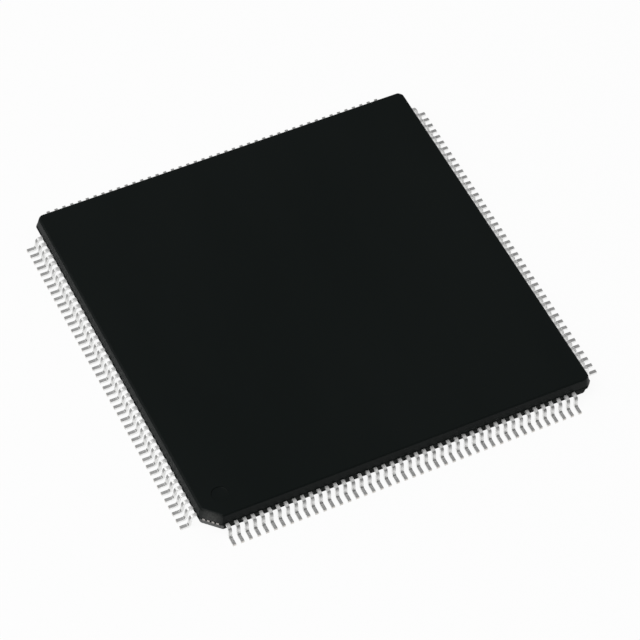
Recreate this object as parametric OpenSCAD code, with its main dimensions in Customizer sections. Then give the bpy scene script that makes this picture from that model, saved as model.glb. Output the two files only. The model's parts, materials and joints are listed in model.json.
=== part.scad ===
// Quad flat pack chip: a low moulded body with gull-wing leads on all four sides.
// The origin is the centre of the seating plane that the feet rest on, and +Z is up.
// Pin 1 is at the corner at -X, -Y. All lengths are in millimetres.

/* [Moulded body] */
// Width of the body at its parting line, the same both ways
body_w = 24; // [20:0.5:28]
// Height of the moulded body
body_h = 1.4; // [1.3:0.05:2]
// Gap between the underside of the body and the seating plane
standoff = 0.1; // [0.05:0.01:0.15]
// Lean of the moulded sides from vertical, in degrees
draft = 12; // [6:1:15]
// How far the lower half is set in from the upper half at the parting line
lower_set_in = 0.03; // [0.01:0.01:0.06]
// The same at the four cut corners, where the lower mould half is cut back further
lower_corner_set_in = 0.08; // [0.03:0.01:0.12]
// How far the resin between the leads stands proud at the parting line
parting_flash = 0.02; // [0.01:0.01:0.04]
// Radius along the top edges
top_edge_r = 0.12; // [0.05:0.01:0.2]
// Radius along the bottom edges
bottom_edge_r = 0.08; // [0.05:0.01:0.15]
// Leg of the large chamfer that marks the pin 1 corner
pin1_chamfer = 1; // [0.85:0.05:1.05]
// Leg of the small chamfers at the other three corners
corner_chamfer = 0.3; // [0.25:0.05:0.5]

/* [Marks in the surface] */
// Diameter of the round pin 1 mark in the top
pin1_mark_d = 1; // [0.6:0.1:1.6]
// Depth of the pin 1 mark
pin1_mark_depth = 0.05; // [0.02:0.01:0.1]
// Distance from the body's sides to the centre of the pin 1 mark
pin1_mark_inset = 1.52; // [1.3:0.02:2.5]
// Diameter of the ejector pin marks in the underside
ejector_mark_d = 1.6; // [1:0.1:2.5]
// Depth of the ejector pin marks
ejector_mark_depth = 0.04; // [0.02:0.01:0.08]
// Distance from the body's sides to the centres of the ejector pin marks
ejector_mark_inset = 2.6; // [2:0.1:4]

/* [Leads outside the body] */
// Distance between the centres of neighbouring leads
lead_pitch = 0.5; // [0.4:0.05:0.8]
// Least distance from a corner of the body to the centre of the nearest lead
corner_clear = 1.25; // [1.2:0.05:2]
// Width of a lead
lead_w = 0.2; // [0.17:0.01:0.27]
// Thickness of the sheet that the leads, paddle and tie bars are stamped from
lead_t = 0.14; // [0.1:0.01:0.18]
// Distance from the side of the body to the toe of a lead
lead_reach = 1; // [0.9:0.05:1.3]
// Straight length of a lead between the body and its upper bend
shoulder_len = 0.2; // [0.12:0.02:0.28]
// Inner radius of both bends in a lead
bend_r = 0.1; // [0.08:0.01:0.14]
// Lean of the leg between the bends from vertical, in degrees
leg_lean = 8; // [4:1:14]

/* [Fingers inside the body] */
// Distance from the centre of the body to the tips of the fingers
finger_tip_u = 6.3; // [5.8:0.1:8]
// Distance from a corner of the square of finger tips to the middle of the nearest tip
tip_corner_clear = 0.71; // [0.65:0.01:1]
// Width of a finger at its tip, across the row
finger_tip_w = 0.13; // [0.08:0.01:0.15]
// Depth inside the body at which the fingers start to fan in
fan_depth = 0.6; // [0.4:0.05:0.7]
// Width of the tape that locks the fingers in place
tape_w = 1; // [0.6:0.1:1.5]
// Thickness of the tape with its adhesive
tape_t = 0.05; // [0.03:0.01:0.08]
// Distance from the tips of the fingers to the inner edge of the tape
tape_setback = 2; // [1:0.1:2.4]

/* [Paddle and tie bars] */
// Width of the square paddle that carries the die
paddle_w = 9.6; // [8.6:0.1:10.6]
// Drop of the paddle below the plane of the leads
downset = 0.24; // [0.16:0.01:0.3]
// Length of the sloping step in a tie bar
downset_run = 0.4; // [0.3:0.05:0.6]
// Distance along a tie bar from the corner of the paddle to its step
downset_setback = 0.3; // [0.2:0.05:0.6]
// Width of a tie bar
tie_w = 0.28; // [0.2:0.02:0.3]
// Number of prongs in the fork that ends the tie bar at pin 1, where the resin is let in
fork_prongs = 4; // [2:1:4]
// Width of a prong
prong_w = 0.15; // [0.12:0.01:0.16]
// Gap between the prongs
prong_gap = 0.12; // [0.08:0.01:0.14]
// Length of the prongs
prong_len = 0.25; // [0.15:0.05:0.3]

/* [Die and bond wires] */
// Width of the square silicon die
die_w = 7.6; // [7.2:0.1:8.2]
// Thickness of the die
die_t = 0.28; // [0.2:0.01:0.35]
// Thickness of the adhesive under the die
attach_t = 0.03; // [0.02:0.01:0.05]
// Width of the lip of adhesive that shows past the edge of the die
attach_lip_w = 0.12; // [0.05:0.01:0.2]
// Distance from a corner of the die to the centre of the nearest bond pad
pad_corner_clear = 0.36; // [0.3:0.02:0.6]
// Distance from the edge of the die to the centres of its bond pads
pad_inset = 0.1; // [0.08:0.01:0.15]
// Thickness of a bond wire
wire_d = 0.03; // [0.02:0.005:0.04]
// Height of a wire loop above the die
loop_h = 0.18; // [0.12:0.01:0.22]
// Length of the level top of a wire loop
loop_top = 0.7; // [0.4:0.05:1]
// Length of the flat stitch on a finger
stitch_len = 0.1; // [0.06:0.01:0.16]
// Distance from the tip of a finger to the end of its stitch
stitch_end = 0.26; // [0.2:0.02:0.4]

/* [Hidden] */
// Share of a pitch by which a row may overrun, so that one that just fits keeps its last lead
count_slack = 0.01;
// Flat steps in each rounded edge of the body
edge_steps = 4;
// Flat steps in each bend of a lead
bend_steps = 5;
// Extra length on anything that cuts, so that it passes clear through
cut = 0.5;
// Corners in the round marks
$fn = 48;

half_w = body_w / 2;
top_z = standoff + body_h;
lead_z = standoff + body_h / 2;
band_bottom_z = lead_z - lead_t / 2;
band_top_z = lead_z + lead_t / 2;

// As many leads as fit on a side, with their finger tips and bond pads spread as evenly
gaps_per_side = floor((body_w - 2 * corner_clear) / lead_pitch + count_slack);
finger_tip_pitch = 2 * (finger_tip_u - tip_corner_clear) / gaps_per_side;
pad_pitch = (die_w - 2 * pad_corner_clear) / gaps_per_side;

bend_mid_r = bend_r + lead_t / 2;
shoulder_end_u = half_w + shoulder_len;
toe_u = half_w + lead_reach;
bend_drop = bend_mid_r * (1 - sin(leg_lean));
bend_run = bend_mid_r * cos(leg_lean);
leg_drop = lead_z - lead_t / 2 - 2 * bend_drop;
foot_start_u = shoulder_end_u + 2 * bend_run + leg_drop * tan(leg_lean);

fan_u = half_w - fan_depth;
tape_inner_u = finger_tip_u + tape_setback;

paddle_z = band_bottom_z - downset;
attach_z = paddle_z + lead_t;
die_z = attach_z + attach_t;
die_top_z = die_z + die_t;
paddle_corner = paddle_w / sqrt(2);
tie_step_start = paddle_corner + downset_setback;
tie_step_end = tie_step_start + downset_run;
pad_u = die_w / 2 - pad_inset;
stitch_u = finger_tip_u + stitch_end;

// Each row is drawn on the +X side and turned into place: u is the distance outwards
// from the centre of the body, and v is the distance along the row.
right_turn = 0;
back_turn = 90;
left_turn = 180;
front_turn = 270;

// Place of lead i along the row, at the pitch given
function row_place(i, pitch) = (i - gaps_per_side / 2) * pitch;

// Place along the row of the middle of finger i, at distance u from the centre
function finger_v(i, u) =
    let (inner = row_place(i, finger_tip_pitch))
    let (outer = row_place(i, lead_pitch))
    inner + (outer - inner) * (u - finger_tip_u) / (fan_u - finger_tip_u);

// Points on an arc, from one angle to another in the given number of steps
function arc(centre, r, from, to, steps) = [
    for (k = [0 : steps])
        let (a = from + (to - from) * k / steps)
        [centre.x + r * cos(a), centre.y + r * sin(a)]
];

// Distance of the moulded side from the centre, h away from a parting edge at distance d
function drafted(d, h) = d - h * tan(draft);

// One side of the body in section, from the underside up to the top face
function side_section(d, set_in) =
    let (lower = d - set_in)
    let (low_z = standoff + bottom_edge_r)
    let (high_z = top_z - top_edge_r)
    let (low_u = drafted(lower, band_bottom_z - low_z) - bottom_edge_r / cos(draft))
    let (high_u = drafted(d, high_z - band_top_z) - top_edge_r / cos(draft))
    concat(
        arc([low_u, low_z], bottom_edge_r, -90, -draft, edge_steps),
        [[lower, band_bottom_z], [d + parting_flash, band_bottom_z]],
        [[d + parting_flash, band_top_z], [d, band_top_z]],
        arc([high_u, high_z], top_edge_r, draft, 90, edge_steps)
    );

// The same side seen the other way round, from the top face down
function far_side_section(d, set_in) =
    let (near = side_section(d, set_in))
    [for (k = [len(near) - 1 : -1 : 0]) [-near[k].x, near[k].y]];

// Distance from the centre to the face of a corner chamfer with the given leg
function chamfer_distance(leg) = (body_w - leg) / sqrt(2);

// The body in section, long enough to be cut by the others, turned about Z
module body_prism(turn, near, far, set_in)
    rotate([90, 0, turn])
        linear_extrude(height = 2 * body_w, center = true)
            polygon(concat(side_section(near, set_in), far_side_section(far, set_in)));

module moulded_outline() {
    small = chamfer_distance(corner_chamfer);
    intersection() {
        body_prism(0, half_w, half_w, lower_set_in);
        body_prism(90, half_w, half_w, lower_set_in);
        body_prism(45, small, chamfer_distance(pin1_chamfer), lower_corner_set_in);
        body_prism(-45, small, small, lower_corner_set_in);
    }
}

module pin1_mark()
    translate([pin1_mark_inset - half_w, pin1_mark_inset - half_w, top_z - pin1_mark_depth])
        cylinder(d = pin1_mark_d, h = pin1_mark_depth + cut);

module ejector_marks()
    for (x = [-1, 1], y = [-1, 1])
        translate([x * (half_w - ejector_mark_inset), y * (half_w - ejector_mark_inset), standoff - cut])
            cylinder(d = ejector_mark_d, h = ejector_mark_depth + cut);

// Stamped outline of one lead from the tip of its finger to reach, seen from above
module lead_plan(i, reach) {
    tip_v = row_place(i, finger_tip_pitch);
    row_v = row_place(i, lead_pitch);
    polygon([
        [finger_tip_u, tip_v - finger_tip_w / 2],
        [fan_u, row_v - lead_w / 2],
        [reach, row_v - lead_w / 2],
        [reach, row_v + lead_w / 2],
        [fan_u, row_v + lead_w / 2],
        [finger_tip_u, tip_v + finger_tip_w / 2]
    ]);
}

module row_plan(reach)
    for (i = [0 : gaps_per_side])
        lead_plan(i, reach);

// Formed outline of a lead in side view: along the top of the finger and the shoulder,
// down the leg to the toe, and back along the underside
module lead_side() {
    outer_r = bend_r + lead_t;
    upper = [shoulder_end_u, lead_z - bend_mid_r];
    lower = [foot_start_u, lead_t / 2 + bend_mid_r];
    polygon(concat(
        [[finger_tip_u, band_top_z]],
        arc(upper, outer_r, 90, leg_lean, bend_steps),
        arc(lower, bend_r, 180 + leg_lean, 270, bend_steps),
        [[toe_u, lead_t], [toe_u, 0]],
        arc(lower, outer_r, 270, 180 + leg_lean, bend_steps),
        arc(upper, bend_r, leg_lean, 90, bend_steps),
        [[finger_tip_u, band_bottom_z]]
    ));
}

// A row of leads: the stamped plan cut out of a sheet that is bent as the leads are
module lead_row(turn)
    rotate([0, 0, turn])
        intersection() {
            rotate([90, 0, 0])
                linear_extrude(height = 2 * body_w, center = true)
                    lead_side();
            translate([0, 0, -cut])
                linear_extrude(height = top_z + cut)
                    row_plan(toe_u + cut);
        }

// The space that the fingers of a row take up in the moulding
module finger_pockets(turn)
    rotate([0, 0, turn])
        translate([0, 0, band_bottom_z])
            linear_extrude(height = lead_t)
                row_plan(half_w + cut);

// A tie bar in side view: level at the paddle, a step up, and level out to its cut end
module tie_bar_side(end) {
    rise = [0, lead_t];
    low_start = [0, paddle_z];
    step_start = [tie_step_start, paddle_z];
    step_end = [tie_step_end, band_bottom_z];
    bar_end = [end, band_bottom_z];
    polygon([
        low_start, step_start, step_end, bar_end,
        bar_end + rise, step_end + rise, step_start + rise, low_start + rise
    ]);
}

// The fork that ends the tie bar at pin 1, from above: it flares out to the width of its prongs
module fork_plan(face, end) {
    half_fork = (fork_prongs * (prong_w + prong_gap) - prong_gap) / 2;
    root = face - prong_len;
    difference() {
        polygon([
            [root - half_fork, 0], [root, -half_fork], [end, -half_fork],
            [end, half_fork], [root, half_fork]
        ]);
        for (i = [1 : fork_prongs - 1])
            translate([root, (i - fork_prongs / 2) * (prong_w + prong_gap) - prong_gap / 2])
                square([end - root + cut, prong_gap]);
    }
}

// A tie bar from above. A forked one stops short of the slots between its prongs.
module tie_bar_plan(face, end, forked) {
    bar_end = forked ? face - prong_len : end;
    translate([0, -tie_w / 2])
        square([bar_end, tie_w]);
    if (forked)
        fork_plan(face, end);
}

// A tie bar along the diagonal at angle turn, out to the chamfer with the given leg
module tie_bar(turn, leg, forked, extra) {
    face = chamfer_distance(leg) + parting_flash;
    rotate([0, 0, turn])
        intersection() {
            rotate([90, 0, 0])
                linear_extrude(height = body_w, center = true)
                    tie_bar_side(face + extra);
            translate([0, 0, paddle_z - cut])
                linear_extrude(height = top_z)
                    tie_bar_plan(face, face + extra + cut, forked);
        }
}

// The paddle and its four tie bars, stamped in one piece, with extra length for cutting
module paddle_frame(extra) {
    translate([-paddle_w / 2, -paddle_w / 2, paddle_z])
        cube([paddle_w, paddle_w, lead_t]);
    for (turn = [45, 135, 315])
        tie_bar(turn, corner_chamfer, false, extra);
    tie_bar(225, pin1_chamfer, true, extra);
}

// A square plate, centred on the body
module plate(w, z, t)
    translate([-w / 2, -w / 2, z])
        cube([w, w, t]);

module attach_layer()
    plate(die_w + 2 * attach_lip_w, attach_z, attach_t);

module die_block()
    plate(die_w, die_z, die_t);

module tape_ring()
    difference() {
        plate(2 * (tape_inner_u + tape_w), band_top_z, tape_t);
        plate(2 * tape_inner_u, band_top_z - cut, tape_t + 2 * cut);
    }

// A wire loop in side view, over the distance run from its pad to the end of its stitch
module loop_side(run) {
    r = wire_d / 2;
    landing = band_top_z - die_top_z;
    polygon([
        [-r, 0], [r, 0], [r, loop_h - wire_d],
        [loop_top, loop_h - wire_d],
        [run - stitch_len, landing], [run, landing],
        [run, landing + r], [run - stitch_len, landing + wire_d],
        [loop_top, loop_h],
        [-r, loop_h]
    ]);
}

// One bond wire, from its pad on the die to its finger
module bond_wire(i) {
    pad = [pad_u, row_place(i, pad_pitch)];
    landing = [stitch_u, finger_v(i, stitch_u)];
    way = landing - pad;
    translate([pad.x, pad.y, die_top_z])
        rotate([90, 0, atan2(way.y, way.x)])
            linear_extrude(height = wire_d, center = true)
                loop_side(norm(way));
}

module wire_row(turn)
    rotate([0, 0, turn])
        for (i = [0 : gaps_per_side])
            bond_wire(i);

// Everything that the resin is moulded around
module filled_space() {
    for (turn = [right_turn, back_turn, left_turn, front_turn]) {
        finger_pockets(turn);
        wire_row(turn);
    }
    paddle_frame(cut);
    attach_layer();
    die_block();
    tape_ring();
}

module mould_body()
    color("#1a1d1c")
        difference() {
            moulded_outline();
            pin1_mark();
            ejector_marks();
            filled_space();
        }

module die_paddle()
    color("#b87a4b")
        paddle_frame(0);

module die_attach()
    color("#c9c9c4")
        attach_layer();

module silicon_die()
    color("#4a5560")
        die_block();

module lead_lock_tape()
    color("#c47a1e")
        tape_ring();

module leads_right()
    color("#c8c8c8")
        lead_row(right_turn);

module leads_back()
    color("#c8c8c8")
        lead_row(back_turn);

module leads_left()
    color("#c8c8c8")
        lead_row(left_turn);

module leads_front()
    color("#c8c8c8")
        lead_row(front_turn);

module bond_wires_right()
    color("#d9a520")
        wire_row(right_turn);

module bond_wires_back()
    color("#d9a520")
        wire_row(back_turn);

module bond_wires_left()
    color("#d9a520")
        wire_row(left_turn);

module bond_wires_front()
    color("#d9a520")
        wire_row(front_turn);

mould_body();
die_paddle();
die_attach();
silicon_die();
lead_lock_tape();
leads_right();
leads_back();
leads_left();
leads_front();
bond_wires_right();
bond_wires_back();
bond_wires_left();
bond_wires_front();
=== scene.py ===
# %% [markdown]
# # A quad flat pack chip
#
# The real object is a black square of moulded epoxy, 24 mm wide and 1.4 mm thick. It stands on 176 little
# gull-wing leads of tin-plated copper, 44 to a side and half a millimetre apart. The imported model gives
# every piece its size and place, so this script starts from the frame and only dresses it.
#
# Everything here is in metres. Small sizes are easier to read in millimetres, so they are written as a
# number times `MM`.

# %% Load the frame
import json
import math

import bmesh
import bpy
from mathutils import Matrix, Vector

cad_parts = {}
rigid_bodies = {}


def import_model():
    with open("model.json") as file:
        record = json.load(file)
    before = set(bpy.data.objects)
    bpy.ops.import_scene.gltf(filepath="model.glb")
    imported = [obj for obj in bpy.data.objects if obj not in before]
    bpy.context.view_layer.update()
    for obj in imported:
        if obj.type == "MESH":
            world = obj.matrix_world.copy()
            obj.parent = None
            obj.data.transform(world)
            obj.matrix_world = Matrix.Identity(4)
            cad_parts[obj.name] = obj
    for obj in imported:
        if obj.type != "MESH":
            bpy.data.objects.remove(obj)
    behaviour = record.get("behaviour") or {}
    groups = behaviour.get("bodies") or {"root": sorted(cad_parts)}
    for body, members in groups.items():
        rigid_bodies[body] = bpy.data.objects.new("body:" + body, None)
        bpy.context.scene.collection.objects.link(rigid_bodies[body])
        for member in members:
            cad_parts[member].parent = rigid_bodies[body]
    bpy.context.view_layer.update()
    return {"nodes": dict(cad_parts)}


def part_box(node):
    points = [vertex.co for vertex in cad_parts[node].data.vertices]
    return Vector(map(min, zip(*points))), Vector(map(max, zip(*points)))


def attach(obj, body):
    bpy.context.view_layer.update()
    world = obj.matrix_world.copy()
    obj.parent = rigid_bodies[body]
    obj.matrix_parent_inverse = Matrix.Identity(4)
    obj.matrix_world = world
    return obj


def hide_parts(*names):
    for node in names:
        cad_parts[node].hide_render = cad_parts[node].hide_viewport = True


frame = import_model()
MM = 0.001
print("nodes:", sorted(frame["nodes"]))

# %% [markdown]
# ## Sizes read from the frame
#
# The two halves of the mould meet in the plane of the leads, and a hair of resin stands proud of the sides
# there. So the box of the body is that much wider than its moulded sides. The box of the right row gives the
# top of the lead sheet, the reach of the toes, and how near to the middle the hidden finger tips come. In
# the names, u runs outwards along a lead and v runs along a row.

# %% Sizes read from the frame
body_low, body_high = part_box("mould_body")
row_low, row_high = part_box("leads_right")

parting_flash = 0.02 * MM
sheet_t = 0.14 * MM

half_w = body_high.x - parting_flash
underside_z = body_low.z
top_z = body_high.z
sheet_top_z = row_high.z
sheet_low_z = sheet_top_z - sheet_t
sheet_mid_z = (sheet_low_z + sheet_top_z) / 2
toe_u = row_high.x
finger_tip_u = row_low.x

for name, value in (
    ("half width of the body", half_w),
    ("top of the body", top_z),
    ("top of the lead sheet", sheet_top_z),
    ("reach of the toes", toe_u),
    ("finger tips", finger_tip_u),
):
    print(f"{name}: {value / MM:.3f} mm")

# %% [markdown]
# ## Picking by place
#
# Every step below adds a primitive, goes into edit mode and shapes it with the same operators as by hand.
# With no mouse, faces and edges are picked by where they lie. `start_clean` lets go of everything first,
# because an operator acts on all that is selected, and the loaded nodes are.

# %% Helpers for selecting
def start_clean():
    """Leaves edit mode and deselects every object."""
    if bpy.context.object and bpy.context.object.mode != "OBJECT":
        bpy.ops.object.mode_set(mode="OBJECT")
    bpy.ops.object.select_all(action="DESELECT")


def pick(piece, kind, test):
    """Goes into edit mode and selects the vertices, edges or faces that pass the test."""
    bpy.context.view_layer.objects.active = piece
    if piece.mode != "EDIT":
        bpy.ops.object.mode_set(mode="EDIT")
    bpy.ops.mesh.select_mode(type=kind)
    bpy.ops.mesh.select_all(action="DESELECT")
    mesh = bmesh.from_edit_mesh(piece.data)
    parts = {"VERT": mesh.verts, "EDGE": mesh.edges, "FACE": mesh.faces}[kind]
    found = 0
    for part in parts:
        if test(part):
            part.select_set(True)
            found += 1
    mesh.select_flush_mode()
    bmesh.update_edit_mesh(piece.data)
    return found


def near(a, b, slack=0.002 * MM):
    """True for two lengths that are the same but for rounding."""
    return abs(a - b) < slack


def looks_along(face, axis, way=1):
    """True for a face that looks along axis 0, 1 or 2, which are X, Y and Z, or the other way for -1."""
    return face.normal[axis] * way > 0.9


def level(edge, z):
    """True for an edge that lies level at height z."""
    return near(edge.verts[0].co.z, z) and near(edge.verts[1].co.z, z)


def spans(edge, low, high):
    """True for an edge that runs from height low to height high."""
    heights = sorted(v.co.z for v in edge.verts)
    return near(heights[0], low) and near(heights[1], high)


# %% [markdown]
# ## Closing a piece
#
# A modifier is applied as soon as it has done its work. A Boolean is such a modifier: it unites two solids
# or takes one away from the other, and the second solid can go afterwards. Counting the faces after each step
# shows early when a step has gone wrong.

# %% Helpers for closing a piece
def apply_modifiers(piece):
    """Applies every modifier of a piece, in order."""
    start_clean()
    piece.select_set(True)
    bpy.context.view_layer.objects.active = piece
    for modifier in list(piece.modifiers):
        bpy.ops.object.modifier_apply(modifier=modifier.name)


def combine(target, other, operation):
    """Unites a solid with another, or takes the other away from it, and throws the other one out."""
    boolean = target.modifiers.new("boolean", "BOOLEAN")
    boolean.operation = operation
    boolean.solver = "EXACT"
    boolean.object = other
    apply_modifiers(target)
    bpy.data.objects.remove(other)


def count(piece):
    """Prints how many faces and triangles a piece has."""
    triangles = sum(len(p.vertices) - 2 for p in piece.data.polygons)
    print(f"{piece.name}: {len(piece.data.polygons)} faces, {triangles} triangles")


# %% [markdown]
# ## The moulded body
#
# The body is cast between two mould halves that meet in the plane of the leads. Each half leans in by 12
# degrees so that it lets go of the resin, the lower half is a hair smaller, and a thin line of resin stands
# proud where they meet. So there are three blocks: a thin band and two halves. A half starts as a cube the
# width of the body. Its upright edges are bevelled into the four corner cuts, the large one at pin 1, and
# its end face is inset while it is raised, which draws all the leaning sides in one step. An inset keeps the
# lean the same on sides and corners, and a scale would not.

# %% The moulded body: a block with cut corners
draft = math.radians(12)
pin1_leg = 1.0 * MM
corner_leg = 0.3 * MM


def cut_corner_block(name, half, z_low, z_high, inset_of_cut=0):
    """A block from z_low to z_high with its four upright edges cut. The cuts can be set in further."""
    start_clean()
    bpy.ops.mesh.primitive_cube_add(size=1, location=(0, 0, (z_low + z_high) / 2))
    block = bpy.context.object
    block.name = name
    block.scale = (2 * half, 2 * half, z_high - z_low)
    bpy.ops.object.transform_apply(location=True, rotation=True, scale=True)
    for at_pin1, leg in ((True, pin1_leg), (False, corner_leg)):

        def upright(edge):
            middle = (edge.verts[0].co + edge.verts[1].co) / 2
            at_this_corner = (middle.x < 0 and middle.y < 0) == at_pin1
            return spans(edge, z_low, z_high) and at_this_corner

        pick(block, "EDGE", upright)
        # Moving both sides in by a step shortens the leg of a cut that stays in place by twice that step.
        cut_leg = leg - 2 * (half_w - half) + inset_of_cut * math.sqrt(2)
        bpy.ops.mesh.bevel(offset=cut_leg, segments=1, affect="EDGES")
    return block


def lean(block, z_from, z_to):
    """Raises or lowers the end face of a block from z_from to z_to, with leaning sides."""
    side = 1 if z_to > z_from else -1
    pick(block, "FACE", lambda f: near(f.calc_center_median().z, z_from) and looks_along(f, 2, side))
    height = abs(z_to - z_from)
    bpy.ops.mesh.inset(thickness=height * math.tan(draft), depth=height)
    bpy.ops.object.mode_set(mode="OBJECT")


# %% [markdown]
# ## The upper and the lower half
#
# A mould is cut with a rounded tool, so the body has no sharp edge. The rounding decides where the light
# catches the rim. The top rim gets the largest radius, with the leaning corner edges in the same bevel so
# that they run into each other cleanly, and the underside is a little crisper. A bevel in edit mode does
# this better than a modifier, because the edges can be picked one by one. The lower half is set in a hair,
# and a little more at its corner cuts.

# %% The upper and the lower half
top_edge_r = 0.12 * MM
top_edge_steps = 4
bottom_edge_r = 0.08 * MM
bottom_edge_steps = 3
lower_set_in = 0.03 * MM
lower_corner_set_in = 0.08 * MM


def round_rim(block, z_from, z_to, radius, steps):
    """Rounds the rim at height z_to and the corner edges that lead up to it."""
    low, high = sorted((z_from, z_to))
    pick(block, "EDGE", lambda e: level(e, z_to) or spans(e, low, high))
    bpy.ops.mesh.bevel(offset=radius, segments=steps, affect="EDGES")
    bpy.ops.object.mode_set(mode="OBJECT")


upper = cut_corner_block("upper_half", half_w, sheet_mid_z, sheet_top_z)
lean(upper, sheet_top_z, top_z)
round_rim(upper, sheet_top_z, top_z, top_edge_r, top_edge_steps)

lower_half_w = half_w - lower_set_in
extra_cut = lower_corner_set_in - lower_set_in
lower = cut_corner_block("lower_half", lower_half_w, sheet_low_z, sheet_mid_z, extra_cut)
lean(lower, sheet_low_z, underside_z)
round_rim(lower, sheet_low_z, underside_z, bottom_edge_r, bottom_edge_steps)
count(upper)
count(lower)

# %% [markdown]
# ## The parting band
#
# Where the mould halves meet, a thin line of resin squeezes out between the leads. It is as thick as the lead
# sheet and stands proud by a fiftieth of a millimetre. It is a third block with the same corner cuts. The
# halves reach into it by half its thickness, and a Boolean union makes one skin of the three.

# %% The parting band
body = cut_corner_block("moulded_body", half_w + parting_flash, sheet_low_z, sheet_top_z)
combine(body, upper, "UNION")
combine(body, lower, "UNION")
count(body)

# %% [markdown]
# ## The scar of the gate
#
# The resin enters the mould at the pin 1 corner. Where the hardened runner is snapped off, a low rough scar
# stays on the cut of the upper half. A noise in the finish alone would leave the cut flat, so the scar has a
# shape: a sphere pressed flat to a low mound. Only the outer side of the mound shows, and its root is sunk.
# The finish further down makes it a little lighter than the skin around it.

# %% The scar of the gate: its shape
scar_w = 0.78 * MM
scar_h = 0.44 * MM
scar_proud = 0.015 * MM
scar_root = 0.1 * MM
scar_columns = 32
scar_rings = 16

start_clean()
bpy.ops.mesh.primitive_uv_sphere_add(segments=scar_columns, ring_count=scar_rings, radius=0.5)
scar = bpy.context.object
scar.scale = (scar_root, scar_w, scar_h)
bpy.ops.object.transform_apply(location=True, rotation=True, scale=True)
print(f"scar: {scar_w / MM:.2f} mm wide and {scar_h / MM:.2f} mm high")

# %% [markdown]
# ## Laying the scar in the corner cut
#
# The cut faces straight out from the corner and leans in with the draft. The scar is pushed out along X to
# the depth of the cut, leaned by the draft, and then turned round Z to the corner. One matrix holds the three
# moves, and it is kept because the finish needs the middle of the scar too.

# %% The scar of the gate: its place
scar_height = 0.25 * MM
pin1_bearing = math.radians(225)

scar_z = sheet_top_z + scar_height
cut_middle = half_w * math.sqrt(2) - pin1_leg / math.sqrt(2)
scar_out = cut_middle - scar_height * math.tan(draft) + scar_proud - scar_root / 2

lie_in_cut = (
    Matrix.Rotation(pin1_bearing, 4, "Z")
    @ Matrix.Translation((scar_out, 0, scar_z))
    @ Matrix.Rotation(-draft, 4, "Y")
)
scar.data.transform(lie_in_cut)
scar_middle = lie_in_cut.to_translation()
combine(body, scar, "UNION")
count(body)

# %% [markdown]
# ## Round marks in the body
#
# A shallow round mark in the top shows which corner is pin 1, and four ejector pins leave faint flat
# circles in the underside. A mark could be inset and pushed in, but a round one would first need a ring of
# new edges in a square face. So each is a cylinder with a rounded floor edge, sunk into the face and taken
# away with a Boolean. Doing it after the bevels keeps the rim of the mark crisp.

# %% A tool that sinks a round mark
mark_sides = 64
mark_tool_h = 0.6 * MM
floor_round = 0.8  # of the depth of a mark
floor_round_steps = 4


def sink_mark(x, y, z, r, depth, side):
    """Cuts a round mark into the face at height z. side is 1 for the top and -1 for the underside."""
    start_clean()
    tool_z = z + side * (mark_tool_h / 2 - depth)
    bpy.ops.mesh.primitive_cylinder_add(
        vertices=mark_sides, radius=r, depth=mark_tool_h, location=(x, y, tool_z)
    )
    tool = bpy.context.object
    bpy.ops.object.transform_apply(location=True, rotation=True, scale=True)
    floor_z = z - side * depth
    pick(tool, "EDGE", lambda e: level(e, floor_z))
    bpy.ops.mesh.bevel(offset=depth * floor_round, segments=floor_round_steps, affect="EDGES")
    combine(body, tool, "DIFFERENCE")


# %% [markdown]
# ## Sinking the marks and shading the body
#
# The pin 1 mark lies near the corner with the large cut, and the ejector marks lie square to the sides. Then
# the body is shaded smooth across the small steps of its rounded edges and left sharp at the real edges.
# Weighted normals let the large flat faces decide the shading, so that no false gradient crosses the top.

# %% Sinking the marks and shading the body
pin1_mark_r = 0.5 * MM
pin1_mark_depth = 0.05 * MM
pin1_mark_inset = 1.52 * MM
ejector_r = 0.8 * MM
ejector_depth = 0.04 * MM
ejector_inset = 2.6 * MM
smooth_angle = math.radians(35)

pin1_mark_x = pin1_mark_inset - half_w
sink_mark(pin1_mark_x, pin1_mark_x, top_z, pin1_mark_r, pin1_mark_depth, 1)
ejector_x = half_w - ejector_inset
for x_side in (-1, 1):
    for y_side in (-1, 1):
        sink_mark(x_side * ejector_x, y_side * ejector_x, underside_z, ejector_r, ejector_depth, -1)

bpy.ops.object.shade_smooth_by_angle(angle=smooth_angle)
soft = body.modifiers.new("even_normals", "WEIGHTED_NORMAL")
soft.keep_sharp = True
apply_modifiers(body)
count(body)

# %% [markdown]
# ## One gull-wing lead
#
# A lead is stamped flat from copper sheet, then bent twice in a forming die: out of the body, down, and out
# again to a foot. It is drawn the way that it is formed. One rectangle, the section of the sheet, is
# extruded along the shoulder, spun through the upper bend, extruded down the leg, spun back through the
# lower bend and extruded along the foot. The same rectangle goes inwards as the finger inside the body.
# There will be 176 of these, so the bends have only four steps, and smooth shading does the rest.
#
# The leg leans by 8 degrees, so each bend turns the sheet by the other 82, and what is left of the height
# between the two bends is the straight leg.

# %% The sizes of a lead
lead_w = 0.2 * MM
shoulder = 0.2 * MM
bend_r = 0.1 * MM
leg_lean = math.radians(8)

bend_mid_r = bend_r + sheet_t / 2
shoulder_end_u = half_w + shoulder
bend_drop = bend_mid_r * (1 - math.sin(leg_lean))
bend_run = bend_mid_r * math.cos(leg_lean)
leg_drop = sheet_mid_z - sheet_t / 2 - 2 * bend_drop
leg_run = leg_drop * math.tan(leg_lean)
foot_start_u = shoulder_end_u + 2 * bend_run + leg_run
bend_turn = math.pi / 2 - leg_lean
print(f"leg: {leg_drop / MM:.3f} mm high, and the foot starts at {foot_start_u / MM:.3f} mm")

# %% [markdown]
# ## Forming the lead
#
# Two small helpers stand for the two things that the sheet does, go straight and go round a bend. The spin
# needs the middle of the bend, which lies below the shoulder for the first one and above the foot for the
# second.

# %% Forming the lead
bend_steps = 4


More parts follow.
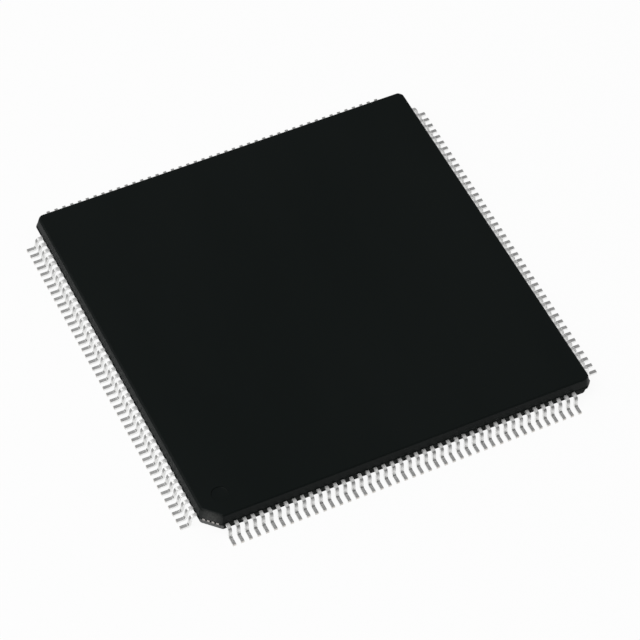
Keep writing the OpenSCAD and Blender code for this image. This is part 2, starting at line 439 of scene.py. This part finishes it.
def extrude(step):
    """Extrudes what is selected by a step along X, Y and Z."""
    bpy.ops.mesh.extrude_region_move(TRANSFORM_OT_translate={"value": step})


def bend(turn, centre):
    """Extrudes what is selected round an axis along Y. A positive turn goes down."""
    bpy.ops.mesh.spin(steps=bend_steps, angle=-turn, center=centre, axis=(0, 1, 0))


def box_of(piece):
    """The lowest and highest corners of a mesh, in millimetres."""
    points = [v.co / MM for v in piece.data.vertices]
    low = [round(min(p[k] for p in points), 3) for k in range(3)]
    high = [round(max(p[k] for p in points), 3) for k in range(3)]
    return low, high


start_clean()
bpy.ops.mesh.primitive_plane_add(size=1, location=(half_w, 0, sheet_mid_z), rotation=(0, math.pi / 2, 0))
lead = bpy.context.object
lead.name = "lead"
lead.scale = (sheet_t, lead_w, 1)
bpy.ops.object.transform_apply(location=True, rotation=True, scale=True)

pick(lead, "FACE", lambda f: True)
extrude((shoulder, 0, 0))
bend(bend_turn, (shoulder_end_u, 0, sheet_mid_z - bend_mid_r))
extrude((leg_run, 0, -leg_drop))
bend(-bend_turn, (foot_start_u, 0, sheet_t / 2 + bend_mid_r))
extrude((toe_u - foot_start_u, 0, 0))
bpy.ops.object.mode_set(mode="OBJECT")
print("bent lead:", *box_of(lead))

# %% [markdown]
# ## The finger inside the body
#
# Inside the body each lead goes on as a flat finger that points at the chip. The finger starts at the same
# rectangle, so its boundary edges are picked and extruded inwards, and the tip is filled and made narrower.
# The two closing steps matter: doubles are merged and the normals recalculated, because a spin can leave
# doubled points and faces that look inwards.

# %% The finger inside the body
fan_u = half_w - 0.6 * MM
finger_tip_w = 0.13 * MM
merge_distance = 0.0001 * MM


def open_at_the_body(edge):
    """True for an edge of the open end of the lead, where it enters the body."""
    return edge.is_boundary and all(near(v.co.x, half_w) for v in edge.verts)


pick(lead, "EDGE", open_at_the_body)
extrude((fan_u - half_w, 0, 0))
extrude((finger_tip_u - fan_u, 0, 0))
bpy.ops.mesh.edge_face_add()
pick(lead, "VERT", lambda v: near(v.co.x, finger_tip_u))
bpy.ops.transform.resize(value=(1, finger_tip_w / lead_w, 1))
bpy.ops.mesh.select_all(action="SELECT")
bpy.ops.mesh.remove_doubles(threshold=merge_distance)
bpy.ops.mesh.normals_make_consistent(inside=False)
open_edges = pick(lead, "EDGE", lambda e: not e.is_manifold)
bpy.ops.object.mode_set(mode="OBJECT")
count(lead)
print("open edges:", open_edges)

# %% [markdown]
# ## Building a finish from nodes
#
# A finish is a small tree of nodes that ends in one Principled shader. Every tree here starts from Object
# coordinates. They are in metres from the centre of the chip, so a pattern keeps its real size and stays
# put from every side. These helpers add the nodes that the finishes share: a noise with a given size of
# grain, a ramp that turns it into two tones, a range of numbers for the roughness, and a bump.

# %% Helpers for finishes
def new_finish(name):
    """Makes a finish with nothing but its shader, and returns the finish, its tree and the shader."""
    finish = bpy.data.materials.new(name)
    finish.use_nodes = True
    tree = finish.node_tree
    return finish, tree, tree.nodes["Principled BSDF"]


def coordinates(tree, stretch=(1, 1, 1)):
    """Object coordinates, stretched along X, Y and Z."""
    place = tree.nodes.new("ShaderNodeTexCoord")
    mapping = tree.nodes.new("ShaderNodeMapping")
    mapping.inputs["Scale"].default_value = stretch
    tree.links.new(place.outputs["Object"], mapping.inputs["Vector"])
    return mapping.outputs["Vector"]


def grain(tree, vector, size, detail=2.0):
    """A noise whose blotches are about size metres across."""
    noise = tree.nodes.new("ShaderNodeTexNoise")
    noise.inputs["Scale"].default_value = 1 / size
    noise.inputs["Detail"].default_value = detail
    tree.links.new(vector, noise.inputs["Vector"])
    return noise.outputs["Fac"]


def between(tree, factor, low, high, start=0.35, stop=0.65):
    """Turns a factor into a number between low and high."""
    spread = tree.nodes.new("ShaderNodeMapRange")
    spread.inputs["From Min"].default_value = start
    spread.inputs["From Max"].default_value = stop
    spread.inputs["To Min"].default_value = low
    spread.inputs["To Max"].default_value = high
    tree.links.new(factor, spread.inputs["Value"])
    return spread.outputs["Result"]


def tones(tree, factor, dark, light, start=0.35, stop=0.65):
    """Turns a factor into a colour between two tones."""
    ramp = tree.nodes.new("ShaderNodeValToRGB")
    ramp.color_ramp.elements[0].position = start
    ramp.color_ramp.elements[0].color = (*dark, 1)
    ramp.color_ramp.elements[1].position = stop
    ramp.color_ramp.elements[1].color = (*light, 1)
    tree.links.new(factor, ramp.inputs["Fac"])
    return ramp.outputs["Color"]


def bump(tree, shader, factor, depth):
    """Roughens a shader's surface by a factor, with hills depth metres high."""
    relief = tree.nodes.new("ShaderNodeBump")
    relief.inputs["Distance"].default_value = depth
    relief.inputs["Strength"].default_value = 1.0
    tree.links.new(factor, relief.inputs["Height"])
    tree.links.new(relief.outputs["Normal"], shader.inputs["Normal"])


# %% [markdown]
# ## Finish: moulding compound
#
# The compound is epoxy filled with silica and carbon black. The mould is spark-eroded, so the skin is matt
# with a grain of a few hundredths of a millimetre. It is one of the darkest things in a studio, and the
# slightly green black is what keeps it from looking like painted plastic. The gloss comes from a low index
# of refraction and high roughness, so the slopes pick up the white of the table at a flat angle while the
# top stays dark. A second, broader noise gives the faint flow marks of the resin.

# %% Finish: moulding compound
compound, tree, shader = new_finish("moulding_compound")
skin = grain(tree, coordinates(tree), 0.04 * MM)
flow = grain(tree, coordinates(tree, stretch=(1, 0.35, 1)), 6 * MM, detail=3)
black = tones(tree, flow, dark=(0.0022, 0.0042, 0.0038), light=(0.0030, 0.0050, 0.0046))
tree.links.new(black, shader.inputs["Base Color"])
tree.links.new(between(tree, flow, low=0.40, high=0.44), shader.inputs["Roughness"])
shader.inputs["IOR"].default_value = 1.2
bump(tree, shader, skin, 0.003 * MM)
print("finish:", compound.name)

# %% [markdown]
# ## Finish: painted table light on the lower half
#
# The sides of the lower half and the parting band are fully matt, and they hardly mirror the table. Their
# lighter, greyer black is painted light from the white table below, on the same compound. So the same helpers
# are used with a coarser grain, a lighter black for the painted light and almost no gloss.

# %% Finish: painted table light on the lower half
table_lit_lower_skin, tree, shader = new_finish("lower_half_painted_table_light")
sparks = grain(tree, coordinates(tree), 0.08 * MM, detail=3)
# The lighter black here is painted light from the white table below.
table_lit_grey = tones(tree, sparks, dark=(0.020, 0.022, 0.021), light=(0.032, 0.034, 0.033))
tree.links.new(table_lit_grey, shader.inputs["Base Color"])
tree.links.new(between(tree, sparks, low=0.55, high=0.65), shader.inputs["Roughness"])
shader.inputs["IOR"].default_value = 1.04
bump(tree, shader, sparks, 0.004 * MM)
print("finish:", table_lit_lower_skin.name)

# %% [markdown]
# ## Finish: painted table light on the lower corners
#
# The corner cuts of the lower half look down at the white table and stand clear of the leads. Their light
# grey is painted light from the table, on the same compound. A noise that is squashed along Z gives patches
# that lie level.

# %% Finish: painted table light on the lower corners
table_lit_corners, tree, shader = new_finish("lower_corners_painted_table_light")
scuffs_and_lit_patches = grain(tree, coordinates(tree, stretch=(1, 1, 2.5)), 0.12 * MM, detail=4)
# The lighter grey here is painted light from the white table below.
grey = tones(tree, scuffs_and_lit_patches, dark=(0.030, 0.032, 0.031), light=(0.100, 0.102, 0.099))
tree.links.new(grey, shader.inputs["Base Color"])
tree.links.new(between(tree, scuffs_and_lit_patches, low=0.50, high=0.62), shader.inputs["Roughness"])
shader.inputs["IOR"].default_value = 1.4
bump(tree, shader, scuffs_and_lit_patches, 0.008 * MM)
print("finish:", table_lit_corners.name)

# %% [markdown]
# ## Finish: the broken gate
#
# The scar of the gate is broken resin: where the resin has been broken, the filler shows and the black turns
# grey. The scar has no sharp border: it fades into the black skin round it. A distance from the middle of the
# scar, turned into a factor, blends the tone of the skin into the tone of the scar. That keeps the border soft,
# where a material for the mound alone would end in a line.

# %% Finish: the broken gate
scar_core_r = 0.20 * MM
scar_edge_r = 0.75 * MM

broken, tree, shader = new_finish("broken_gate")
spots = coordinates(tree)
scuffs_and_lit_patches = grain(tree, spots, 0.10 * MM, detail=4)
away = tree.nodes.new("ShaderNodeVectorMath")
away.operation = "DISTANCE"
away.inputs[1].default_value = scar_middle
tree.links.new(spots, away.inputs[0])
skin_tone = tones(tree, scuffs_and_lit_patches, dark=(0.004, 0.006, 0.0055), light=(0.008, 0.010, 0.0095))
scar_tone = tones(tree, scuffs_and_lit_patches, dark=(0.022, 0.024, 0.023), light=(0.060, 0.062, 0.059))
blend = tree.nodes.new("ShaderNodeMix")
blend.data_type = "RGBA"
fading = between(tree, away.outputs["Value"], low=1, high=0, start=scar_core_r, stop=scar_edge_r)
tree.links.new(fading, blend.inputs["Factor"])
# A Mix node has its own sockets for each kind of data. For colours, 6 and 7 go in and 2 comes out.
tree.links.new(skin_tone, blend.inputs[6])
tree.links.new(scar_tone, blend.inputs[7])
tree.links.new(blend.outputs[2], shader.inputs["Base Color"])
tree.links.new(between(tree, scuffs_and_lit_patches, low=0.42, high=0.55), shader.inputs["Roughness"])
shader.inputs["IOR"].default_value = 1.25
bump(tree, shader, scuffs_and_lit_patches, 0.006 * MM)
print("finish:", broken.name)

# %% [markdown]
# ## Where each finish goes on the body
#
# A finish becomes a material slot of the piece, and the faces that wear it are picked by place and by their
# normal. A normal is one unit long, so its share of X, Y or Z says how far a face is turned that way. The
# first slot holds for the whole body, and each later one takes its own faces over from the ones before it,
# so the order of the list matters.

# %% Where each finish goes on the body
cut_share = 0.35  # of X and of Y, at least, in the normal of a corner cut
steep_share = 0.5  # of Z, at most, in the normal of a side
top_rim_share = 0.7  # of Z, at most, in the normal of the gate's cut and the rim above it
rim_clear = 0.02 * MM


def at_a_lower_corner(face):
    """True for a face of the four corner cuts below the parting line."""
    turned = abs(face.normal.x) > cut_share and abs(face.normal.y) > cut_share
    return turned and underside_z + rim_clear < face.calc_center_median().z < sheet_low_z


def on_a_lower_side(face):
    """True for a side face of the parting band or of the lower half."""
    return abs(face.normal.z) < steep_share and face.calc_center_median().z < sheet_top_z


def at_the_gate(face):
    """True for a face of the pin 1 cut above the parting line."""
    x, y, z = face.normal
    turned_out = x < -cut_share and y < -cut_share and z < top_rim_share
    return turned_out and face.calc_center_median().z > sheet_top_z


def wear(piece, skins):
    """Gives a piece its finishes, each with a test for its faces. The first one holds for all faces."""
    for slot, (skin, test) in enumerate(skins):
        piece.data.materials.append(skin)
        if test:
            print(f"{piece.name} wears {skin.name} on {pick(piece, 'FACE', test)} faces")
            piece.active_material_index = slot
            bpy.ops.object.material_slot_assign()
    bpy.ops.object.mode_set(mode="OBJECT")


body_skins = (
    (compound, None),
    (table_lit_lower_skin, on_a_lower_side),
    (table_lit_corners, at_a_lower_corner),
    (broken, at_the_gate),
)
wear(body, body_skins)

# %% [markdown]
# ## Finish: tin plate
#
# Lead-free packages are plated with matt tin. It is a pale metal with a satin look, because the plating
# grows as small grains. The metal shader takes its colour from the plating, and two noises give the grain
# and the uneven satin. The top of the foot is given a duller grey. The bends are darker still, and that grey
# is a painted reflection of the dark room at table height. So one function makes the three tins from their
# greys and their roughness.

# %% Finish: tin plate
def tin_finish(name, dark, light, rough, smooth):
    """Tin plate with an uneven satin between two greys and two values of roughness."""
    finish, tree, shader = new_finish(name)
    spots = coordinates(tree)
    patches = grain(tree, spots, 0.25 * MM, detail=3)
    crystals = grain(tree, spots, 0.02 * MM)
    greys = [(grey, grey, grey * 0.99) for grey in (dark, light)]
    tree.links.new(tones(tree, patches, *greys), shader.inputs["Base Color"])
    tree.links.new(between(tree, patches, rough, smooth), shader.inputs["Roughness"])
    shader.inputs["Metallic"].default_value = 1.0
    bump(tree, shader, crystals, 0.001 * MM)
    print("finish:", name)
    return finish


tin = tin_finish("matt_tin_plate", dark=0.82, light=0.92, rough=0.44, smooth=0.36)
# The top of the foot gets a darker grey.
darker_foot_tin = tin_finish("darker_foot_tin", dark=0.50, light=0.60, rough=0.44, smooth=0.36)
# The darker grey of the bends is a painted reflection of the dark room at table height.
bend_painted_reflection_tin = tin_finish("bend_painted_reflection_tin", dark=0.34, light=0.50, rough=0.50, smooth=0.42)

# %% [markdown]
# ## Finish: painted reflection on the leg
#
# The outer side of the leg is darker just under the upper bend and gets brighter further down. That dark band
# is a painted reflection of the dark room at table height. The height of a point, taken from its coordinates,
# is turned into a factor that runs over this stretch, and the ramp turns the factor into the tone.

# %% Finish: painted reflection on the leg
reflection_dark_from_z = 0.66 * MM
reflection_dark_to_z = 0.46 * MM

leg_tin, tree, shader = new_finish("leg_painted_reflection_tin")
height = tree.nodes.new("ShaderNodeSeparateXYZ")
tree.links.new(coordinates(tree), height.inputs["Vector"])
# The dark top of the leg is a painted reflection of the dark room at table height.
dark_reflection_fade = between(tree, height.outputs["Z"], low=1, high=0, start=reflection_dark_to_z, stop=reflection_dark_from_z)
leg_reflection_tone = tones(tree, dark_reflection_fade, dark=(0.46, 0.46, 0.455), light=(0.84, 0.84, 0.83), start=0, stop=1)
tree.links.new(leg_reflection_tone, shader.inputs["Base Color"])
shader.inputs["Roughness"].default_value = 0.44
shader.inputs["Metallic"].default_value = 1.0
print("finish:", leg_tin.name)

# %% [markdown]
# ## Finish: cut copper at the toes
#
# The toes are cut off after plating, so their ends are bare copper alloy, smeared over with a little tin. The
# blade leaves scratches that run up and down. A noise stretched along Z makes such lines without a texture
# of their own.

# %% Finish: cut copper at the toes
cut_copper, tree, shader = new_finish("cut_copper")
scratches = grain(tree, coordinates(tree, stretch=(1, 1, 0.15)), 0.02 * MM)
bare = tones(tree, scratches, dark=(0.55, 0.53, 0.50), light=(0.78, 0.75, 0.71))
tree.links.new(bare, shader.inputs["Base Color"])
tree.links.new(between(tree, scratches, low=0.35, high=0.50), shader.inputs["Roughness"])
shader.inputs["Metallic"].default_value = 1.0
print("finish:", cut_copper.name)

# %% [markdown]
# ## Where each finish goes on the lead
#
# The lead lies along X, so its faces are easy to find. The top of the foot looks up close to the table, the
# leg looks outwards, the bends look in between, and the toe is the face that lies furthest out. The finishes
# go on before the lead is copied, so all 176 wear them.

# %% Where each finish goes on the lead
slant_share = 0.2  # of X and of Z, at least, in the normal of a face that is neither level nor upright
outward_share = 0.6  # of X, at least, in the normal of the upper bend
level_share = 0.9  # of Z, at most, in the normal of the lower bend, because more is the foot


def on_foot(face):
    """True for the top of the foot."""
    return looks_along(face, 2) and face.calc_center_median().z < 2 * sheet_t


def on_a_bend(face):
    """True for the outer side of the upper bend and the inner side of the lower one."""
    x, _, z = face.normal
    upper_bend = x > outward_share and z > slant_share
    close_to_table = face.calc_center_median().z < sheet_low_z / 2
    lower_bend = x > slant_share and slant_share < z < level_share and close_to_table
    return upper_bend or lower_bend


def on_leg(face):
    """True for the outer side of the straight leg."""
    return looks_along(face, 0) and face.normal.z < slant_share


def at_toe(face):
    """True for the cut end of the foot."""
    return near(face.calc_center_median().x, toe_u)


lead_skins = (
    (tin, None),
    (darker_foot_tin, on_foot),
    (bend_painted_reflection_tin, on_a_bend),
    (leg_tin, on_leg),
    (cut_copper, at_toe),
)
wear(lead, lead_skins)
bpy.ops.object.shade_smooth_by_angle(angle=smooth_angle)

# %% [markdown]
# ## A row of 44 leads
#
# The lead is copied along the side at half a millimetre, each copy with its own mesh. An array modifier would
# keep all the copies alike, but inside the body the fingers close up, because their tips have to fit round
# the chip. So the tip of each copy is slid sideways, and then the copies are joined into one row.

# %% A row of leads
lead_pitch = 0.5 * MM
corner_clear = 1.25 * MM
tip_corner_clear = 0.71 * MM

gaps_per_side = round(2 * (half_w - corner_clear) / lead_pitch)
tip_pitch = 2 * (finger_tip_u - tip_corner_clear) / gaps_per_side


def copy_of(piece, name, place):
    """Copies a piece with its own mesh and moves or turns the mesh."""
    copy = piece.copy()
    copy.data = piece.data.copy()
    copy.name = name
    bpy.context.collection.objects.link(copy)
    copy.data.transform(place)
    return copy


start_clean()
for i in range(gaps_per_side + 1):
    row_v = (i - gaps_per_side / 2) * lead_pitch
    tip_v = (i - gaps_per_side / 2) * tip_pitch
    copy = copy_of(lead, f"lead_{i}", Matrix.Translation((0, row_v, 0)))
    for vertex in copy.data.vertices:
        if near(vertex.co.x, finger_tip_u):
            vertex.co.y += tip_v - row_v
    copy.select_set(True)
    bpy.context.view_layer.objects.active = copy
bpy.ops.object.join()
row = bpy.context.object
bpy.data.objects.remove(lead)
print(f"one row: {gaps_per_side + 1} leads, tips {tip_pitch / MM:.3f} mm apart")

# %% [markdown]
# ## Four rows and the body take their places
#
# The row is copied and turned by a quarter turn for each side. Each row then takes the place of the solid of
# the same row in the imported model, and so does the body. `attach` hangs a piece on the moving part that it
# goes with, and as nothing moves here that is always the root.

# %% Four rows and the body take their places
for side, degrees in (("right", 0), ("back", 90), ("left", 180), ("front", 270)):
    side_row = copy_of(row, f"lead_row_{side}", Matrix.Rotation(math.radians(degrees), 4, "Z"))
    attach(side_row, "root")
    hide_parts(f"leads_{side}")
    count(side_row)
    print(f"{side} row:", *box_of(side_row))
bpy.data.objects.remove(row)

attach(body, "root")
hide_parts("mould_body")
print("body:", *box_of(body))

# %% [markdown]
# ## Finish: the copper of the paddle
#
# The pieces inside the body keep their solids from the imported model. The compound hides them, but the tie
# bars of the paddle come out at the corners, and the pieces are worth having when the body is cut open or
# taken away. The paddle and its tie bars are rolled copper alloy with a thin grey bloom. A noise squeezed
# across the rolling direction makes the fine lines that the rolls leave.

# %% Finish: the copper of the paddle
copper, tree, shader = new_finish("rolled_copper")
rolling = grain(tree, coordinates(tree, stretch=(1, 12, 1)), 0.15 * MM, detail=3)
bloom = tones(tree, rolling, dark=(0.32, 0.30, 0.285), light=(0.44, 0.42, 0.40))
tree.links.new(bloom, shader.inputs["Base Color"])
tree.links.new(between(tree, rolling, low=0.30, high=0.42), shader.inputs["Roughness"])
shader.inputs["Metallic"].default_value = 1.0
bump(tree, shader, rolling, 0.001 * MM)
print("finish:", copper.name)

# %% [markdown]
# ## Finish: the glue under the chip
#
# The chip is stuck to the paddle with epoxy that is full of silver flakes. It is neither a plain metal nor a
# plain plastic, so the metal share of the shader lies between the two. A fine noise stands for the flakes.

# %% Finish: the glue under the chip
epoxy, tree, shader = new_finish("silver_filled_epoxy")
flakes = grain(tree, coordinates(tree), 0.03 * MM, detail=4)
silver = tones(tree, flakes, dark=(0.35, 0.35, 0.34), light=(0.70, 0.70, 0.68))
tree.links.new(silver, shader.inputs["Base Color"])
tree.links.new(between(tree, flakes, low=0.55, high=0.40), shader.inputs["Roughness"])
shader.inputs["Metallic"].default_value = 0.6
bump(tree, shader, flakes, 0.004 * MM)
print("finish:", epoxy.name)

# %% [markdown]
# ## Finish: the patterned chip
#
# The top of a chip is divided into blocks of circuits with metal lines between them, too fine to see one by
# one. A brick pattern gives the blocks at about the right size, in the dark purple and blue greys of thin
# glass over silicon.

# %% Finish: the patterned chip
circuit_block_w = 1.3 * MM

silicon, tree, shader = new_finish("patterned_silicon")
blocks = tree.nodes.new("ShaderNodeTexBrick")
blocks.inputs["Scale"].default_value = 1 / circuit_block_w
blocks.inputs["Color1"].default_value = (0.045, 0.060, 0.085, 1)
blocks.inputs["Color2"].default_value = (0.110, 0.095, 0.120, 1)
blocks.inputs["Mortar"].default_value = (0.250, 0.245, 0.220, 1)
blocks.inputs["Mortar Size"].default_value = 0.012
tree.links.new(coordinates(tree), blocks.inputs["Vector"])
tree.links.new(blocks.outputs["Color"], shader.inputs["Base Color"])
polish = grain(tree, coordinates(tree), 0.4 * MM)
tree.links.new(between(tree, polish, low=0.12, high=0.22), shader.inputs["Roughness"])
shader.inputs["Metallic"].default_value = 0.5
print("finish:", silicon.name)

# %% [markdown]
# ## Finishes: amber tape and gold wire
#
# A ring of amber film holds the fingers level until the resin is in. It is smooth, with faint streaks along
# the way that it was cast. The bond wires are drawn gold, the brightest metal in the chip, so they have the
# lowest roughness of the metals.

# %% Finishes: amber tape and gold wire
tape, tree, shader = new_finish("amber_polyimide")
streaks = grain(tree, coordinates(tree, stretch=(1, 0.2, 1)), 0.5 * MM, detail=3)
amber = tones(tree, streaks, dark=(0.42, 0.15, 0.02), light=(0.56, 0.23, 0.04))
tree.links.new(amber, shader.inputs["Base Color"])
tree.links.new(between(tree, streaks, low=0.28, high=0.38), shader.inputs["Roughness"])

gold, tree, shader = new_finish("drawn_gold")
drawing = grain(tree, coordinates(tree), 0.01 * MM)
yellow = tones(tree, drawing, dark=(0.90, 0.62, 0.22), light=(1.00, 0.74, 0.32))
tree.links.new(yellow, shader.inputs["Base Color"])
tree.links.new(between(tree, drawing, low=0.15, high=0.25), shader.inputs["Roughness"])
shader.inputs["Metallic"].default_value = 1.0
print("finishes:", tape.name, gold.name)

# %% [markdown]
# ## The pieces inside wear their finishes
#
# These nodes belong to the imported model, so nothing about them changes but the material in their slots.

# %% The pieces inside wear their finishes
inside = {"die_paddle": copper, "die_attach": epoxy, "silicon_die": silicon, "lead_lock_tape": tape}
for side in ("right", "back", "left", "front"):
    inside[f"bond_wires_{side}"] = gold
for node, finish in inside.items():
    for slot in bpy.data.objects[node].material_slots:
        slot.material = finish
    print(node, "wears", finish.name)

# %% [markdown]
# ## The white table
#
# The chip stands on a plain white table, a large disc just under the feet. The gap to the feet is too small
# to see, and it keeps the two surfaces from fighting for the same place.

# %% The white table: its shape
table_r = 3.0
table_sides = 96
table_gap = 0.004 * MM

start_clean()
bpy.ops.mesh.primitive_circle_add(
    vertices=table_sides, radius=table_r, fill_type="NGON", location=(0, 0, -table_gap)
)
floor = bpy.context.object
floor.name = "table"
bpy.ops.object.transform_apply(location=True, rotation=True, scale=True)
print(f"table: {2 * table_r:.1f} m across")

# %% [markdown]
# ## The white of the table
#
# A plain white paint would come out grey, because its tone hangs on the lamps. So a camera, a shiny lead or a
# clear piece sees the table as glowing white, through the Light Path node, and all other rays see a matt
# white that takes the lamps' light. A small share of the matt white is left for the camera too, so that the
# chip keeps its shadow.

# %% The white of the table
white_share = 0.93
matt_white = (0.85, 0.85, 0.85, 1)

table_white = bpy.data.materials.new("table_white")
table_white.use_nodes = True
tree = table_white.node_tree
tree.nodes.clear()
path = tree.nodes.new("ShaderNodeLightPath")
matt = tree.nodes.new("ShaderNodeBsdfDiffuse")
glow = tree.nodes.new("ShaderNodeEmission")
matt.inputs["Color"].default_value = matt_white
glow.inputs["Strength"].default_value = 1.0


def sum_of(tree, a, b):
    """Adds two factors, and the sum stops at 1."""
    add = tree.nodes.new("ShaderNodeMath")
    add.operation = "ADD"
    add.use_clamp = True
    tree.links.new(a, add.inputs[0])
    tree.links.new(b, add.inputs[1])
    return add.outputs[0]


seen = sum_of(tree, path.outputs["Is Camera Ray"], path.outputs["Is Glossy Ray"])
seen = sum_of(tree, seen, path.outputs["Is Transmission Ray"])
share = tree.nodes.new("ShaderNodeMath")
share.operation = "MULTIPLY"
share.inputs[1].default_value = white_share
tree.links.new(seen, share.inputs[0])

mix = tree.nodes.new("ShaderNodeMixShader")
output = tree.nodes.new("ShaderNodeOutputMaterial")
tree.links.new(share.outputs[0], mix.inputs["Fac"])
tree.links.new(matt.outputs[0], mix.inputs[1])
tree.links.new(glow.outputs[0], mix.inputs[2])
tree.links.new(mix.outputs[0], output.inputs["Surface"])
floor.data.materials.append(table_white)
print("table finish:", table_white.name)

# %% [markdown]
# ## The room
#
# The light is plain and soft. A dim room fills the shadows. It is dark at the height of the table and gets
# lighter towards the ceiling, so that the sides of the chip have something dark to mirror. The camera sees
# plain white instead, through the same Light Path node as on the table.

# %% The room
dark_horizon = 0.05
light_ceiling = 0.46
horizon_rise = 0.10  # share of Z in the direction of a ray, from level at 0 to straight up at 1
ceiling_rise = 0.55

world = bpy.data.worlds.new("room")
bpy.context.scene.world = world
world.use_nodes = True
tree = world.node_tree
tree.nodes.clear()
look = tree.nodes.new("ShaderNodeTexCoord")
rise = tree.nodes.new("ShaderNodeSeparateXYZ")
tree.links.new(look.outputs["Generated"], rise.inputs["Vector"])
dimming = between(tree, rise.outputs["Z"], dark_horizon, light_ceiling, horizon_rise, ceiling_rise)

room = tree.nodes.new("ShaderNodeBackground")
room.inputs["Color"].default_value = (1, 1, 1, 1)
tree.links.new(dimming, room.inputs["Strength"])
white = tree.nodes.new("ShaderNodeBackground")
white.inputs["Color"].default_value = (1, 1, 1, 1)
white.inputs["Strength"].default_value = 1.0

path = tree.nodes.new("ShaderNodeLightPath")
mix = tree.nodes.new("ShaderNodeMixShader")
output = tree.nodes.new("ShaderNodeOutputWorld")
tree.links.new(path.outputs["Is Camera Ray"], mix.inputs["Fac"])
tree.links.new(room.outputs[0], mix.inputs[1])
tree.links.new(white.outputs[0], mix.inputs[2])
tree.links.new(mix.outputs[0], output.inputs["Surface"])
print(f"room: {dark_horizon} at the horizon, {light_ceiling} overhead")

# %% [markdown]
# ## Two softboxes
#
# Two large square lamps hang to the left of the chip and face it. The main one is high up and gives the
# table its light and the chip its soft shadow. The weaker one is lower and further back, and only lifts the
# slope on that side. A lamp's energy is worked out from how bright its white face should look, so the two
# can be compared at a glance.

# %% Two softboxes
def softbox(name, place, size, brightness):
    """Hangs a square lamp that faces the chip. brightness is that of the lamp's white face."""
    lamp = bpy.data.lights.new(name, "AREA")
    lamp.size = size
    lamp.energy = brightness * math.pi * size * size
    holder = bpy.data.objects.new(name, lamp)
    holder.location = place
    holder.rotation_euler = Vector(place).to_track_quat("Z", "Y").to_euler()
    bpy.context.collection.objects.link(holder)
    print(f"{name}: {size} m wide, {lamp.energy:.2f} W")


softbox("softbox_over", place=(-0.20, 0.00, 0.36), size=0.28, brightness=3.6)
softbox("softbox_left", place=(-0.34, 0.24, 0.22), size=0.36, brightness=0.5)

# %% [markdown]
# ## The camera
#
# The camera looks down at the chip from the front left through a long lens, and leans over a little, so the
# edges of the body run slightly out of true. Its distance and lens go together: a longer lens from further
# away would flatten the far corner. Its three axes are worked out from the angles, because a constraint that
# aims the camera at a target would leave it upright.

# %% Where the camera looks from
azimuth = math.radians(-28.170)
elevation = math.radians(51.819)
roll = math.radians(2.920)
distance = 192.425 * MM
target = Vector((0.329, -0.834, 0)) * MM

towards = Vector((
    math.sin(azimuth) * math.cos(elevation),
    -math.cos(azimuth) * math.cos(elevation),
    math.sin(elevation),
))
level_right = Vector((math.cos(azimuth), math.sin(azimuth), 0))
level_up = towards.cross(level_right)
right = level_right * math.cos(roll) + level_up * math.sin(roll)
up = level_up * math.cos(roll) - level_right * math.sin(roll)
place = target + towards * distance
print("camera:", [round(x / MM, 2) for x in place])

# %% [markdown]
# ## The camera itself
#
# The lens and the sensor give the angle of view together. The standard view transform shows the tones as they
# are, where a filmic one would turn the white table grey.

# %% The camera itself
lens = bpy.data.cameras.new("camera")
lens.sensor_width = 36
lens.lens = 188.22
lens.clip_start = 0.01
camera = bpy.data.objects.new("camera", lens)
bpy.context.collection.objects.link(camera)
axes = Matrix((right, up, towards)).transposed().to_4x4()
camera.matrix_world = Matrix.Translation(place) @ axes
bpy.context.scene.camera = camera
bpy.context.scene.view_settings.view_transform = "Standard"
print(f"lens: {lens.lens} mm on a sensor {lens.sensor_width:.0f} mm wide")
